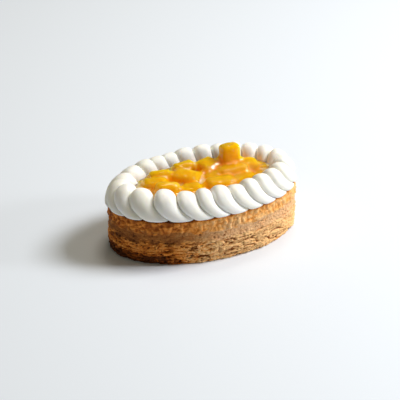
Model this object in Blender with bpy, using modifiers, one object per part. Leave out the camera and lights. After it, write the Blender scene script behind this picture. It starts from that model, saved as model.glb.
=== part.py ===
"""Individual oval mango tart: puff pastry base, a piped rope of whipped cream round its rim, and
diced mango set in amber glaze inside the rope. Metres, +X along the oval, +Z up, base on z = 0."""

import math

import bmesh
import bpy
import numpy as np
from mathutils import Matrix, Vector

MM = 0.001

# Puff pastry base
PASTRY_HALF_LENGTH = 50.0
PASTRY_HALF_WIDTH = 29.4
PASTRY_HEIGHT = 25.3
PASTRY_COLUMNS = 112
# The side bulges at mid height, starts and ends inside the outline, and never stands out further than
# the cream over it
PASTRY_BARREL = 0.7
PASTRY_INSET = 0.45
PASTRY_MOST_OUT = 0.45
# Rounding of the bottom edge and of the rim
BOTTOM_ROUND = 1.0
RIM_ROUND = 0.9
RIM_LAST_DROP = 0.2
TOP_INSET = 3.0

# Layers of the base from the bottom up: thickness, how far the layer stands out of the crevice under
# it, and how much its edge is torn
LAYERS = (
    (2.1, 0.95, 0.34),
    (1.9, 1.10, 0.40),
    (2.2, 1.05, 0.38),
    (2.0, 0.85, 0.34),
    (2.9, 0.65, 0.28),
    (4.2, 0.45, 0.20),
    (10.0, 0.35, 0.14),
)
LAYER_WANDER = 0.42
CREVICE_RISE = 0.10
CREVICE_TORN = 0.09
CREVICE_VARIES = 0.38
LIP_SHARE = 0.36
LIP_MOST_RISE = 0.75
LIP_OUT = 0.10
# Layers at least this thick, and the lowest, have one more row under their top: its drop, how far out,
# and how torn it is against the layer's lip
SHOULDER_FROM = 2.5
SHOULDER_DROP = 0.35
SHOULDER_OUT = -0.12
SHOULDER_TORN = 0.75
# First row over the floor, and the rows of the smooth top layer: share of its height, and how far out
FOOT_ROW = (0.45, -0.25, 0.10, 0)
TOP_LAYER_ROWS = ((0.40, 0.22), (0.72, 0.12), (0.91, -0.10))
TOP_LAYER_TORN = 0.13
# Jitter of single points, and how strongly the fine tearing adds to the wide one
ROW_JITTER = 0.08
FINE_TEARING = 0.87
# Upright wrinkles round the top of the side
WRINKLE_COUNT = 34
WRINKLE_SHIFT = 2.5
WRINKLE_DEPTH = 0.30
WRINKLES_FROM = 0.60

# Rope of piped cream
CREAM_Z = 25.6
ROPE_WIDTH = 15.7
ROPE_HEIGHT = 12.2
ROPE_OVERHANG = 0.7
ROPE_ROWS = 13
# Width of each lobe along the middle of the rope, anticlockwise from the front left. The bag moved
# slowest there, so those lobes are the broadest.
LOBE_WIDTHS = (11.4, 11.4, 9.7, 7.7, 9.4, 8.2, 7.8, 7.8, 7.6, 7.5, 7.6, 7.6, 8.0, 8.2, 8.5, 7.5, 9.6)
LOBE_WIDTHS += (9.7, 6.7, 7.6, 8.3, 9.4, 7.3, 6.9, 7.2)
# How much higher than the middling lobe each one is. The back left of the rope is the lowest.
LOBE_BULKS = (0.8, 1.5, 0.0, 0.6, 0.9, -0.4, 0.4, 0.4, 0.5, 0.4, 0.2, 0.2, 0.3, 0.0, 0.0, -0.4, -0.1)
LOBE_BULKS += (-0.4, -1.8, -1.5, -0.6, -1.1, -1.5, -0.6, 0.8)
BULK_POWER = 3
FIRST_LOBE_START = 112.4
# Where the columns of points lie across one lobe. Each lobe starts with a steep flank.
LOBE_COLUMNS = (0.0, 0.10, 0.26, 0.46, 0.66, 0.84, 0.95)
LOBE_SKEW = 0.86
LOBE_SQUARENESS = 2.3
# The rope stands out further round the left end
LEFT_SWELL = 0.06
LEFT_SWELL_POWER = 3
OUTER_SWEEP = 7.7
OUTER_SWEEP_POWER = 2.2
INNER_SWEEP = 3.0
INNER_SWEEP_POWER = 1.6
# Depth of the grooves beside a lobe of middling width: outer foot, outer flank, crest, inner flank,
# inner foot. A broader lobe has deeper ones.
GROOVE_DEPTHS = (1.2, 2.5, 3.2, 3.6, 2.8)
MIDDLING_WIDTH = 8.35
MOST_DEEPER = 1.15

# Mango and glaze inside the rope, measured from CREAM_Z
GLAZE_LEVEL = 5.4
# The glaze climbs at the cream, and dips and rolls towards the middle
GLAZE_CLIMB = 0.5
GLAZE_RIPPLE = 0.35
GLAZE_ROLL = 0.21
GLAZE_RINGS = 4
GLAZE_COLUMNS = 48
# Offset of the oval on which the glaze's columns are evenly spaced
GLAZE_SPACING_OFFSET = -15.0
GAP = 0.3
# How far the knife cuts of a dice lean
CUT_ASKEW = 0.06
# Diced mango: centre, length, width and height, turn about Z, then tilts about X and Y in degrees,
# and the radius of its soft edges
CHUNKS = {
    "mango_chunk_01": ((18.1, 8.4, 9.6), (8.8, 7.4, 14.8), (-12, 0, 5), 1.2),
    "mango_chunk_02": ((6.1, 8.5, 5.6), (9.8, 9.0, 8.8), (0, 0, 20), 1.5),
    "mango_chunk_03": ((16.6, 0.0, 5.1), (14.2, 6.6, 8.4), (-8, 0, -2), 1.5),
    "mango_chunk_04": ((27.4, 3.3, 5.2), (6.6, 7.6, 8.4), (0, 4, -10), 1.7),
    "mango_chunk_05": ((-7.9, 2.1, 5.0), (13.4, 8.4, 8.2), (0, 0, -38), 1.6),
    "mango_chunk_06": ((-6.1, 11.4, 6.0), (9.9, 5.0, 7.6), (0, -10, -4), 1.4),
    "mango_chunk_07": ((-20.3, 7.2, 5.8), (11.2, 5.0, 7.8), (0, -3, -12), 1.7),
    "mango_chunk_08": ((-25.3, 1.1, 5.2), (11.4, 6.3, 8.2), (0, 0, -14), 1.7),
    "mango_chunk_09": ((-21.2, -6.7, 6.2), (12.2, 6.2, 9.4), (0, 0, -12), 2.7),
    "mango_chunk_10": ((-9.3, -8.6, 4.4), (10.0, 6.6, 6.8), (0, 0, -6), 1.5),
    "mango_chunk_11": ((6.6, -7.7, 4.6), (13.4, 6.6, 7.2), (0, 0, -3), 1.6),
    "mango_chunk_12": ((4.9, -0.9, 4.5), (8.0, 4.6, 6.4), (0, 0, 12), 1.4),
    "mango_chunk_13": ((32.7, 0.5, 4.3), (3.2, 5.0, 6.0), (0, 8, 10), 1.3),
    "mango_chunk_14": ((20.2, -7.2, 4.0), (11.2, 5.8, 6.0), (0, 0, 4), 1.4),
}


def clear_scene():
    for obj in list(bpy.data.objects):
        bpy.data.objects.remove(obj, do_unlink=True)


def collection(name):
    made = bpy.data.collections.new(name)
    bpy.context.scene.collection.children.link(made)
    return made


def material(name, colour, roughness):
    made = bpy.data.materials.new(name)
    made.use_nodes = True
    shader = made.node_tree.nodes["Principled BSDF"]
    shader.inputs["Base Color"].default_value = (*colour, 1.0)
    shader.inputs["Roughness"].default_value = roughness
    return made


def add_object(name, points, faces, group, skin=None):
    """Adds a mesh from points in millimetres."""
    mesh = bpy.data.meshes.new(name)
    mesh.from_pydata([tuple(float(value) * MM for value in point) for point in points], [], faces)
    work = bmesh.new()
    work.from_mesh(mesh)
    bmesh.ops.recalc_face_normals(work, faces=work.faces)
    work.to_mesh(mesh)
    work.free()
    mesh.update()
    if skin is not None:
        mesh.materials.append(skin)
    made = bpy.data.objects.new(name, mesh)
    group.objects.link(made)
    return made


def oval_point(angle, offset, z):
    """A point outside (or, if negative, inside) the oval outline by offset."""
    normal = Vector((PASTRY_HALF_WIDTH * math.cos(angle), PASTRY_HALF_LENGTH * math.sin(angle), 0.0))
    normal.normalize()
    x = PASTRY_HALF_LENGTH * math.cos(angle) + offset * normal.x
    y = PASTRY_HALF_WIDTH * math.sin(angle) + offset * normal.y
    return (x, y, z)


def even_angles(offset, count):
    """Angles that split the oval at this offset into equal lengths."""
    fine = np.linspace(0.0, 2.0 * math.pi, 2401)
    track = np.array([oval_point(angle, offset, 0.0)[:2] for angle in fine])
    lengths = np.concatenate([[0.0], np.cumsum(np.hypot(*np.diff(track, axis=0).T))])
    return np.interp(np.arange(count) * lengths[-1] / count, lengths, fine), fine, lengths


def smooth_noise(seed, count, highest):
    """A ring of count values between about -1 and 1, with no more than highest waves round it."""
    random = np.random.default_rng(seed)
    turn = np.arange(count) * 2.0 * math.pi / count
    total = np.zeros(count)
    for wave in range(1, highest + 1):
        total += random.normal() * np.cos(wave * turn + random.uniform(0.0, 2.0 * math.pi))
    return total / (np.abs(total).max() + 1e-9)


def ring_faces(rows, columns):
    """Quads between closed rings of points that are stored one after the other."""
    faces = []
    for row in range(rows - 1):
        for column in range(columns):
            after = (column + 1) % columns
            low = row * columns
            faces.append((low + column, low + after, low + columns + after, low + columns + column))
    return faces


def pastry_rows():
    """Rows of the side from the bottom up: height, how far out, how torn, and the layer's number."""
    rows = [(0.0, -BOTTOM_ROUND, 0.0, 0), FOOT_ROW]
    height = 0.0
    for number, (thickness, relief, torn) in enumerate(LAYERS):
        top = height + thickness
        if number > 0:
            lip_rise = min(LIP_MOST_RISE, LIP_SHARE * thickness)
            rows.append((height + CREVICE_RISE, -relief, CREVICE_TORN, number))
            rows.append((height + lip_rise, LIP_OUT, torn, number))
        if number == len(LAYERS) - 1:
            for share, out in TOP_LAYER_ROWS:
                rows.append((height + share * thickness, out, TOP_LAYER_TORN, number))
        elif thickness > SHOULDER_FROM or number == 0:
            rows.append((top - SHOULDER_DROP, SHOULDER_OUT, SHOULDER_TORN * torn, number))
        height = top
    rows.append((height - RIM_LAST_DROP, -RIM_ROUND, 0.0, len(LAYERS) - 1))
    return rows


def build_pastry(group):
    """Closed rings of points up the torn side, then flat over the top and under the bottom."""
    angles, _, _ = even_angles(0.0, PASTRY_COLUMNS)
    rows = pastry_rows()
    last = len(rows) - 1
    last_height = rows[last][0]
    stretch = PASTRY_HEIGHT / (last_height + RIM_LAST_DROP)
    wrinkle_shift = WRINKLE_SHIFT * smooth_noise(71, PASTRY_COLUMNS, 6)
    random = np.random.default_rng(5)
    points = []
    for index, (height, out, torn, layer) in enumerate(rows):
        share = height / last_height
        bulge = math.sin(math.pi * share)
        wander = LAYER_WANDER * smooth_noise(100 + layer, PASTRY_COLUMNS, 9)
        lip = smooth_noise(200 + 3 * layer, PASTRY_COLUMNS, 30)
        fine = smooth_noise(300 + index, PASTRY_COLUMNS, 60)
        for column, angle in enumerate(angles):
            offset = out + PASTRY_BARREL * bulge - PASTRY_INSET
            z = height * stretch
            if 0 < index < last:
                if out < 0.0:
                    offset += CREVICE_VARIES * out * (lip[column] - 1.0)
                offset += torn * (lip[column] + FINE_TEARING * fine[column])
                if share > WRINKLES_FROM:
                    ridge = math.sin(WRINKLE_COUNT * angle + wrinkle_shift[column])
                    over = (share - WRINKLES_FROM) / (1.0 - WRINKLES_FROM)
                    offset += WRINKLE_DEPTH * ridge * math.sqrt(math.sin(math.pi * over))
                if layer > 0:
                    z += wander[column] * math.sqrt(bulge)
                z += ROW_JITTER * random.uniform(-1.0, 1.0)
            points.append(oval_point(angle, min(offset, PASTRY_MOST_OUT), z))
    for angle in angles:
        points.append(oval_point(angle, -TOP_INSET, PASTRY_HEIGHT))
    faces = ring_faces(len(rows) + 1, PASTRY_COLUMNS)
    highest = len(rows) * PASTRY_COLUMNS
    faces.append(tuple(reversed(range(PASTRY_COLUMNS))))
    faces.append(tuple(range(highest, highest + PASTRY_COLUMNS)))
    skin = material("baked_pastry", (0.58, 0.33, 0.13), 0.75)
    return add_object("pastry_base", points, faces, group, skin)


def rope_track():
    """Angle on the oval for a distance along the middle of the rope."""
    _, fine, lengths = even_angles(ROPE_OVERHANG - ROPE_WIDTH / 2.0, 8)
    return fine, lengths


def rope_sweep(turn):
    """How far a lobe has run ahead (outside) or fallen behind (inside) at this turn of the section."""
    rise = 1.0 - math.sin(turn)
    if turn < math.pi / 2.0:
        return OUTER_SWEEP * rise**OUTER_SWEEP_POWER
    return -INNER_SWEEP * rise**INNER_SWEEP_POWER


def rope_turns():
    """Turns of the half section from its outer foot over the crest to its inner foot."""
    return [math.pi * row / (ROPE_ROWS - 1) for row in range(ROPE_ROWS)]


def groove_depth(turn):
    return float(np.interp(turn / math.pi, np.linspace(0.0, 1.0, len(GROOVE_DEPTHS)), GROOVE_DEPTHS))


def lobe_arch(share):
    """Height over a lobe: 0 in the grooves at both ends and 1 on its round back."""
    across = abs(2.0 * share**LOBE_SKEW - 1.0)
    return math.sqrt(max(0.0, 1.0 - across**LOBE_SQUARENESS))


def build_rope(group):
    """Lobes side by side along the rope, each a round back between two grooves that sweep outwards."""
    fine, lengths = rope_track()
    around = lengths[-1]
    widths = np.array(LOBE_WIDTHS) * around / sum(LOBE_WIDTHS)
    starts = FIRST_LOBE_START + np.concatenate([[0.0], np.cumsum(widths)[:-1]])
    half = ROPE_WIDTH / 2.0
    columns = [(lobe, share) for lobe in range(len(widths)) for share in LOBE_COLUMNS]
    points = []
    for turn in rope_turns():
        for lobe, share in columns:
            along = starts[lobe] + share * widths[lobe] + rope_sweep(turn)
            angle = float(np.interp(along % around, lengths, fine))
            arch = lobe_arch(share)
            deeper = min(MOST_DEEPER, widths[lobe] / MIDDLING_WIDTH)
            bulk = LOBE_BULKS[lobe] * arch * math.sin(turn) ** BULK_POWER
            sunk = groove_depth(turn) * deeper * (1.0 - arch) - bulk
            normal = Vector((ROPE_HEIGHT * math.cos(turn), half * math.sin(turn), 0.0)).normalized()
            swell = LEFT_SWELL * max(0.0, -math.cos(angle)) ** LEFT_SWELL_POWER
            out = half * math.cos(turn) * (1.0 + swell * (turn < math.pi / 2.0)) - sunk * normal.x
            rise = max(0.0, ROPE_HEIGHT * math.sin(turn) - sunk * normal.y)
            if turn in (0.0, math.pi):
                rise = 0.0
            points.append(oval_point(angle, ROPE_OVERHANG - half + out, CREAM_Z + rise))
    faces = ring_faces(ROPE_ROWS, len(columns))
    last = (ROPE_ROWS - 1) * len(columns)
    for column in range(len(columns)):
        after = (column + 1) % len(columns)
        faces.append((last + column, last + after, after, column))
    skin = material("whipped_cream", (0.93, 0.92, 0.87), 0.5)
    return add_object("cream_rope", points, faces, group, skin)


def build_chunk(name, group, grow, skin=None):
    """A knife-cut dice of mango with soft edges, made larger all round by grow."""
    centre, size, turns, radius = CHUNKS[name]
    random = np.random.default_rng(sum(ord(letter) for letter in name))
    shape = Matrix.Identity(3)
    for row in range(3):
        for column in range(3):
            if row != column:
                shape[row][column] = random.uniform(-CUT_ASKEW, CUT_ASKEW)
    shape = shape @ Matrix.Diagonal([(side + 2.0 * grow) * MM for side in size])
    work = bmesh.new()
    bmesh.ops.create_cube(work, size=1.0)
    bmesh.ops.transform(work, matrix=shape.to_4x4(), verts=work.verts)
    mesh = bpy.data.meshes.new(name)
    work.to_mesh(mesh)
    work.free()
    made = bpy.data.objects.new(name if skin else name + "_cutter", mesh)
    made.location = (centre[0] * MM, centre[1] * MM, (centre[2] + CREAM_Z) * MM)
    made.rotation_euler = [math.radians(angle) for angle in turns]
    edges = made.modifiers.new("soft_edges", "BEVEL")
    edges.width = (radius + grow) * MM
    edges.segments = 2
    edges.limit_method = "NONE"
    if skin:
        mesh.materials.append(skin)
    else:
        made.hide_render = True
        made.display_type = "WIRE"
    group.objects.link(made)
    return made


def rope_inside(z):
    """Offset of the rope's inner flank at this height above its foot."""
    share = min(1.0, z / ROPE_HEIGHT)
    return ROPE_OVERHANG - ROPE_WIDTH / 2.0 - ROPE_WIDTH / 2.0 * math.sqrt(1.0 - share**2)


def build_glaze(group, cutters):
    """The bed of glaze inside the rope, with the dice cut out of it."""
    angles, _, _ = even_angles(GLAZE_SPACING_OFFSET, GLAZE_COLUMNS)
    ripple = smooth_noise(41, GLAZE_COLUMNS, 7)
    points = []
    for z in (0.0, 0.5 * GLAZE_LEVEL, GLAZE_LEVEL + GLAZE_CLIMB):
        for column, angle in enumerate(angles):
            rise = GLAZE_RIPPLE * ripple[column] if z > GLAZE_LEVEL else 0.0
            points.append(oval_point(angle, rope_inside(z + rise) - GAP, CREAM_Z + z + rise))
    rim = [Vector(point) for point in points[-GLAZE_COLUMNS:]]
    for ring in range(1, GLAZE_RINGS):
        inward = 1.0 - ring / GLAZE_RINGS
        wave = smooth_noise(50 + ring, GLAZE_COLUMNS, max(2, 7 - ring))
        for column in range(GLAZE_COLUMNS):
            dip = GLAZE_CLIMB * math.sqrt(1.0 - inward)
            rise = GLAZE_LEVEL + GLAZE_CLIMB - dip + GLAZE_ROLL * wave[column] * inward
            spot = rim[column]
            points.append((spot.x * inward, spot.y * inward, CREAM_Z + rise))
    faces = ring_faces(GLAZE_RINGS + 2, GLAZE_COLUMNS)
    last = (GLAZE_RINGS + 1) * GLAZE_COLUMNS
    points.append((0.0, 0.0, CREAM_Z + GLAZE_LEVEL))
    for column in range(GLAZE_COLUMNS):
        faces.append((last + column, last + (column + 1) % GLAZE_COLUMNS, len(points) - 1))
    faces.append(tuple(reversed(range(GLAZE_COLUMNS))))
    skin = material("amber_glaze", (0.85, 0.42, 0.03), 0.1)
    glaze = add_object("mango_glaze", points, faces, group, skin)
    for cutter in cutters:
        cut = glaze.modifiers.new(cutter.name, "BOOLEAN")
        cut.operation = "DIFFERENCE"
        cut.solver = "EXACT"
        cut.object = cutter
    return glaze


clear_scene()
tart = collection("mango_tart")
helpers = collection("cutters")
build_pastry(tart)
build_rope(tart)
flesh = material("mango_flesh", (0.93, 0.50, 0.03), 0.25)
chunk_cutters = []
for chunk_name in CHUNKS:
    build_chunk(chunk_name, tart, 0.0, flesh)
    chunk_cutters.append(build_chunk(chunk_name, helpers, GAP))
build_glaze(tart, chunk_cutters)
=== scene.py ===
"""An individual oval mango tart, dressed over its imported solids.

Puff pastry base, a piped rope of whipped cream on its rim, and diced mango set in clear amber glaze.
The scene is in metres, +X along the oval, +Z up, the tart standing on z = 0. The pieces' sizes are in
millimetres, and become metres as each mesh is made.
"""

import math

import bmesh
import bpy
import numpy as np
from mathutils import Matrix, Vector, noise
from mathutils.bvhtree import BVHTree


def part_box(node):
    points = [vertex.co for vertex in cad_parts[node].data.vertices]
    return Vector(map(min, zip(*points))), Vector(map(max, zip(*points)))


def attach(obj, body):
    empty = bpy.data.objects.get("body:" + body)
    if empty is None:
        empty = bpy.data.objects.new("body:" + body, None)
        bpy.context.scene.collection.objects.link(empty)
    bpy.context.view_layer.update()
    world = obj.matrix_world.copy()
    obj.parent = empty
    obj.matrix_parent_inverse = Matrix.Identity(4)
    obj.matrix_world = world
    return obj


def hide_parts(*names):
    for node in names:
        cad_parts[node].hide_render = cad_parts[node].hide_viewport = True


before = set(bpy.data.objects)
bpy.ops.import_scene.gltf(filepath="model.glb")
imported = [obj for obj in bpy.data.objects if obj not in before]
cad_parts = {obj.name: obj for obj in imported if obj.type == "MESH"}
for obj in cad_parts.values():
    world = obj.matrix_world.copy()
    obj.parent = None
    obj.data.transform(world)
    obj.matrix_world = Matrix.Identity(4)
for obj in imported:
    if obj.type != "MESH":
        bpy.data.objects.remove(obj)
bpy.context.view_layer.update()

# Puff pastry base
# A baked oval of puff pastry, cut with a ring, so its side shows the edges of the dough's layers: torn
# ledges and cracks low down, a dusty smooth band, and soft upright wrinkles under the cream.
# One closed skin of fine rings, pushed in and out by noise that is stretched along the layers.

MM = 0.001
OVAL_HALF_LENGTH = 50.0
OVAL_HALF_WIDTH = 29.4
PASTRY_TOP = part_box("pastry_base")[1].z / MM
PASTRY_COLUMNS = 760
PASTRY_ROW_STEP = 0.24
# Heights between which the zones of the side change over: torn sheets, dusty band, wrinkled top
TORN_TO_DUSTY = (11.5, 14.5)
DUSTY_TO_WRINKLED = (16.6, 18.2)
# How large the marks on the side are, along the layers and up across them
SHEET_SIZE = (9.0, 1.35)
LUMP_SIZE = (1.9, 0.80)
OPEN_SHEET_SIZE = (6.0, 2.0)
OPEN_LUMP_SIZE = (5.0, 2.0)
PIT_SIZE = (1.5, 0.9)
PORE_SIZE = (0.9, 0.9)
DUST_SIZE = (1.6, 1.3)
WRINKLE_SIZE = (2.3, 3.6)
BLISTER_SIZE = (2.2, 1.5)
# How far they stand out, and how far a crack goes in
SHEET_OUT = 1.4
LUMP_OUT = 0.8
DUST_OUT = 0.7
WRINKLE_OUT = 1.2
BLISTER_OUT = 0.50
CRACK_DEPTH = 0.9
# The side bellies out a little between foot and rim, and its skin lies just inside the solid's
SIDE_BELLY = 0.62
SKIN_INSET = 0.40
MOST_OUT = 0.75
BROWNED_ALL_OVER = 0.16
# Rings of the rounded foot and of the rim: height above the floor or the top, and how far out
FOOT_RINGS = ((0.0, -22.0), (0.0, -1.3), (0.12, -0.55), (0.35, -0.15))
SIDE_START = 0.55
SIDE_END = -0.9
RIM_RINGS = ((-0.75, -0.05), (-0.45, -0.2), (-0.2, -0.5), (-0.05, -1.0))
TOP_RINGS = ((0.0, -2.0), (0.0, -12.0), (0.0, -22.0))


def oval_point(angle, offset):
    """A point offset outwards from the oval outline, in millimetres."""
    normal = Vector((OVAL_HALF_WIDTH * math.cos(angle), OVAL_HALF_LENGTH * math.sin(angle)))
    normal.normalize()
    x = OVAL_HALF_LENGTH * math.cos(angle) + offset * normal.x
    y = OVAL_HALF_WIDTH * math.sin(angle) + offset * normal.y
    return x, y


def oval_track(offset):
    """Angles round the oval and the distance walked to each of them."""
    angles = np.linspace(0.0, 2.0 * math.pi, 2401)
    points = np.array([oval_point(angle, offset) for angle in angles])
    walked = np.concatenate([[0.0], np.cumsum(np.hypot(*np.diff(points, axis=0).T))])
    return angles, walked


def ease(value, start, end):
    """0 before start, 1 after end, and a smooth rise between them."""
    share = min(1.0, max(0.0, (value - start) / (end - start)))
    return share * share * (3.0 - 2.0 * share)


def bumps(x, y, z, wide, high, seed=0.0):
    """Smooth noise from about -1 to 1 whose features are wide and high millimetres large."""
    return noise.noise(Vector((x / wide, y / wide, z / high + seed)))


def pastry_relief(x, y, z):
    """How far the side stands out here, how open a crack is, and how thin and light the crust is: lighter
    flakes and dust, with a painted highlight on the ridges of sheets and wrinkles.
    """
    torn = 1.0 - ease(z, *TORN_TO_DUSTY)
    wrinkled = ease(z, *DUSTY_TO_WRINKLED)
    dusty = (1.0 - torn) * (1.0 - wrinkled)
    # The layers rise and sag slowly round the tart
    level = z + 1.2 * bumps(x, y, z, 16.0, 30.0) + 0.35 * bumps(x, y, z, 4.0, 5.0, 7.0)
    # Sheets bulge and meet in creases; lumps of crumb break them up
    sheet = abs(bumps(x, y, level, *SHEET_SIZE, 3.0))
    lump = abs(bumps(x, y, level, *LUMP_SIZE, 41.0))
    open_sheet = ease(bumps(x, y, z, *OPEN_SHEET_SIZE, 21.0), -0.15, 0.25)
    open_lump = ease(bumps(x, y, z, *OPEN_LUMP_SIZE, 29.0), 0.05, 0.40)
    # Where two sheets or lumps meet, the crease is a crack, and pits and pores are open too
    crack = torn * open_sheet * (1.0 - ease(sheet, 0.02, 0.13))
    crack = max(crack, 0.7 * torn * open_lump * (1.0 - ease(lump, 0.02, 0.14)))
    pit = ease(bumps(x, y, z, *PIT_SIZE, 50.0), 0.34, 0.60)
    pore = ease(bumps(x, y, z, *PORE_SIZE, 63.0), 0.34, 0.56)
    crack = max(crack, 0.8 * torn * pit, 0.5 * pore * (dusty + 0.5 * torn))
    out = torn * (SHEET_OUT * sheet + LUMP_OUT * lump - 0.48)
    out += dusty * (DUST_OUT * abs(bumps(x, y, z, *DUST_SIZE, 85.0)) - 0.45)
    wrinkle = abs(bumps(x, y, z, *WRINKLE_SIZE, 90.0))
    blister = ease(bumps(x, y, z, *BLISTER_SIZE, 97.0), 0.05, 0.5)
    out += wrinkled * (WRINKLE_OUT * wrinkle + BLISTER_OUT * blister - 0.25)
    out += 0.30 * bumps(x, y, z, 6.0, 5.0, 101.0) + 0.22 * bumps(x, y, z, 0.8, 0.6, 80.0)
    # Lighter on the ridges of sheets, lumps and wrinkles and in the dusty band: partly lighter flakes and
    # flour, partly a painted highlight where light catches the ridges
    pale_and_highlight = torn * ease(1.4 * sheet + lump, 0.25, 0.80) + wrinkled * ease(wrinkle + 0.4 * blister, -0.2, 0.9)
    return out - CRACK_DEPTH * crack, crack, (pale_and_highlight + 0.4 * dusty) * (1.0 - crack)


def pastry_profile():
    """Heights and insets of the rings: rounded foot, side, rounded rim, then in over the top."""
    rings = list(FOOT_RINGS)
    height = SIDE_START
    while height < PASTRY_TOP + SIDE_END:
        rings.append((height, 0.0))
        height += PASTRY_ROW_STEP
    return rings + [(PASTRY_TOP + drop, out) for drop, out in RIM_RINGS + TOP_RINGS]


def build_pastry():
    """The skin, ring by ring, keeping for the material how open each crack is and how much lighter each
    point is, partly flake colour and partly a painted highlight on ridges.
    """
    angles, walked = oval_track(0.0)
    spread = np.interp(np.arange(PASTRY_COLUMNS) * walked[-1] / PASTRY_COLUMNS, walked, angles)
    points = []
    cracks = []
    pale_and_highlight_values = []
    rings = pastry_profile()
    for height, inset in rings:
        belly = SIDE_BELLY * math.sin(math.pi * height / PASTRY_TOP) - SKIN_INSET
        side = ease(inset, -1.6, 0.0) if 0.0 < height < PASTRY_TOP else 0.0
        for angle in spread:
            x, y = oval_point(angle, 0.0)
            relief, crack, pale_and_highlight = pastry_relief(x, y, height) if side else (0.0, 0.0, 0.0)
            out = inset + (belly if side else -SKIN_INSET) + relief * side
            x, y = oval_point(angle, min(out, MOST_OUT))
            points.append((x * MM, y * MM, height * MM))
            cracks.append(crack * side)
            pale_and_highlight_values.append(pale_and_highlight * side)
    faces = []
    for ring in range(len(rings) - 1):
        low = ring * PASTRY_COLUMNS
        for column in range(PASTRY_COLUMNS):
            after = (column + 1) % PASTRY_COLUMNS
            high = low + PASTRY_COLUMNS
            faces.append((low + column, low + after, high + after, high + column))
    faces.append(tuple(reversed(range(PASTRY_COLUMNS))))
    last = (len(rings) - 1) * PASTRY_COLUMNS
    faces.append(tuple(range(last, last + PASTRY_COLUMNS)))
    mesh = bpy.data.meshes.new("puff_pastry")
    mesh.from_pydata(points, [], faces)
    mesh.attributes.new("crack", "FLOAT", "POINT").data.foreach_set("value", cracks)
    mesh.attributes.new("pale_and_highlight", "FLOAT", "POINT").data.foreach_set("value", pale_and_highlight_values)
    mesh.shade_smooth()
    piece = bpy.data.objects.new("puff_pastry", mesh)
    bpy.context.scene.collection.objects.link(piece)
    return piece


def linear(hex_colour):
    """The linear colour of an sRGB hex value."""
    parts = [int(hex_colour[i : i + 2], 16) / 255.0 for i in (1, 3, 5)]
    return [p / 12.92 if p <= 0.04045 else ((p + 0.055) / 1.055) ** 2.4 for p in parts] + [1.0]


def node(tree, kind, feeds=None, **settings):
    """Adds a node with its settings, and feeds its inputs from values or from other nodes' sockets."""
    made = tree.nodes.new(kind)
    for name, value in settings.items():
        setattr(made, name, value)
    for name, value in (feeds or {}).items():
        if isinstance(value, bpy.types.NodeSocket):
            tree.links.new(value, made.inputs[name])
        else:
            made.inputs[name].default_value = value
    return made


def new_material(name):
    """An empty material with its output node."""
    material = bpy.data.materials.new(name)
    material.use_nodes = True
    tree = material.node_tree
    tree.nodes.clear()
    return material, tree, node(tree, "ShaderNodeOutputMaterial")


def ramp(tree, factor, stops):
    """Colours between hex values at the given places."""
    made = node(tree, "ShaderNodeValToRGB", {"Fac": factor})
    while len(made.color_ramp.elements) < len(stops):
        made.color_ramp.elements.new(0.5)
    for element, (place, colour) in zip(made.color_ramp.elements, stops):
        element.position = place
        element.color = linear(colour)
    return made.outputs["Color"]


def mix_colour(tree, factor, first, second, blend="MIX"):
    """One colour laid over another, each a socket or a hex value."""
    colours = [linear(colour) if isinstance(colour, str) else colour for colour in (first, second)]
    made = node(
        tree,
        "ShaderNodeMix",
        {0: factor, 6: colours[0], 7: colours[1]},
        data_type="RGBA",
        blend_type=blend,
    )
    return made.outputs[2]


def spread_value(tree, value, low, high, to_low=0.0, to_high=1.0):
    """A value stretched smoothly from one range to another."""
    made = node(
        tree,
        "ShaderNodeMapRange",
        {"Value": value, "From Min": low, "From Max": high, "To Min": to_low, "To Max": to_high},
        interpolation_type="SMOOTHSTEP",
    )
    return made.outputs[0]


def added(tree, *values):
    """The sum of several values."""
    total = values[0]
    for value in values[1:]:
        total = node(tree, "ShaderNodeMath", {0: total, 1: value}, operation="ADD").outputs[0]
    return total


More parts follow.
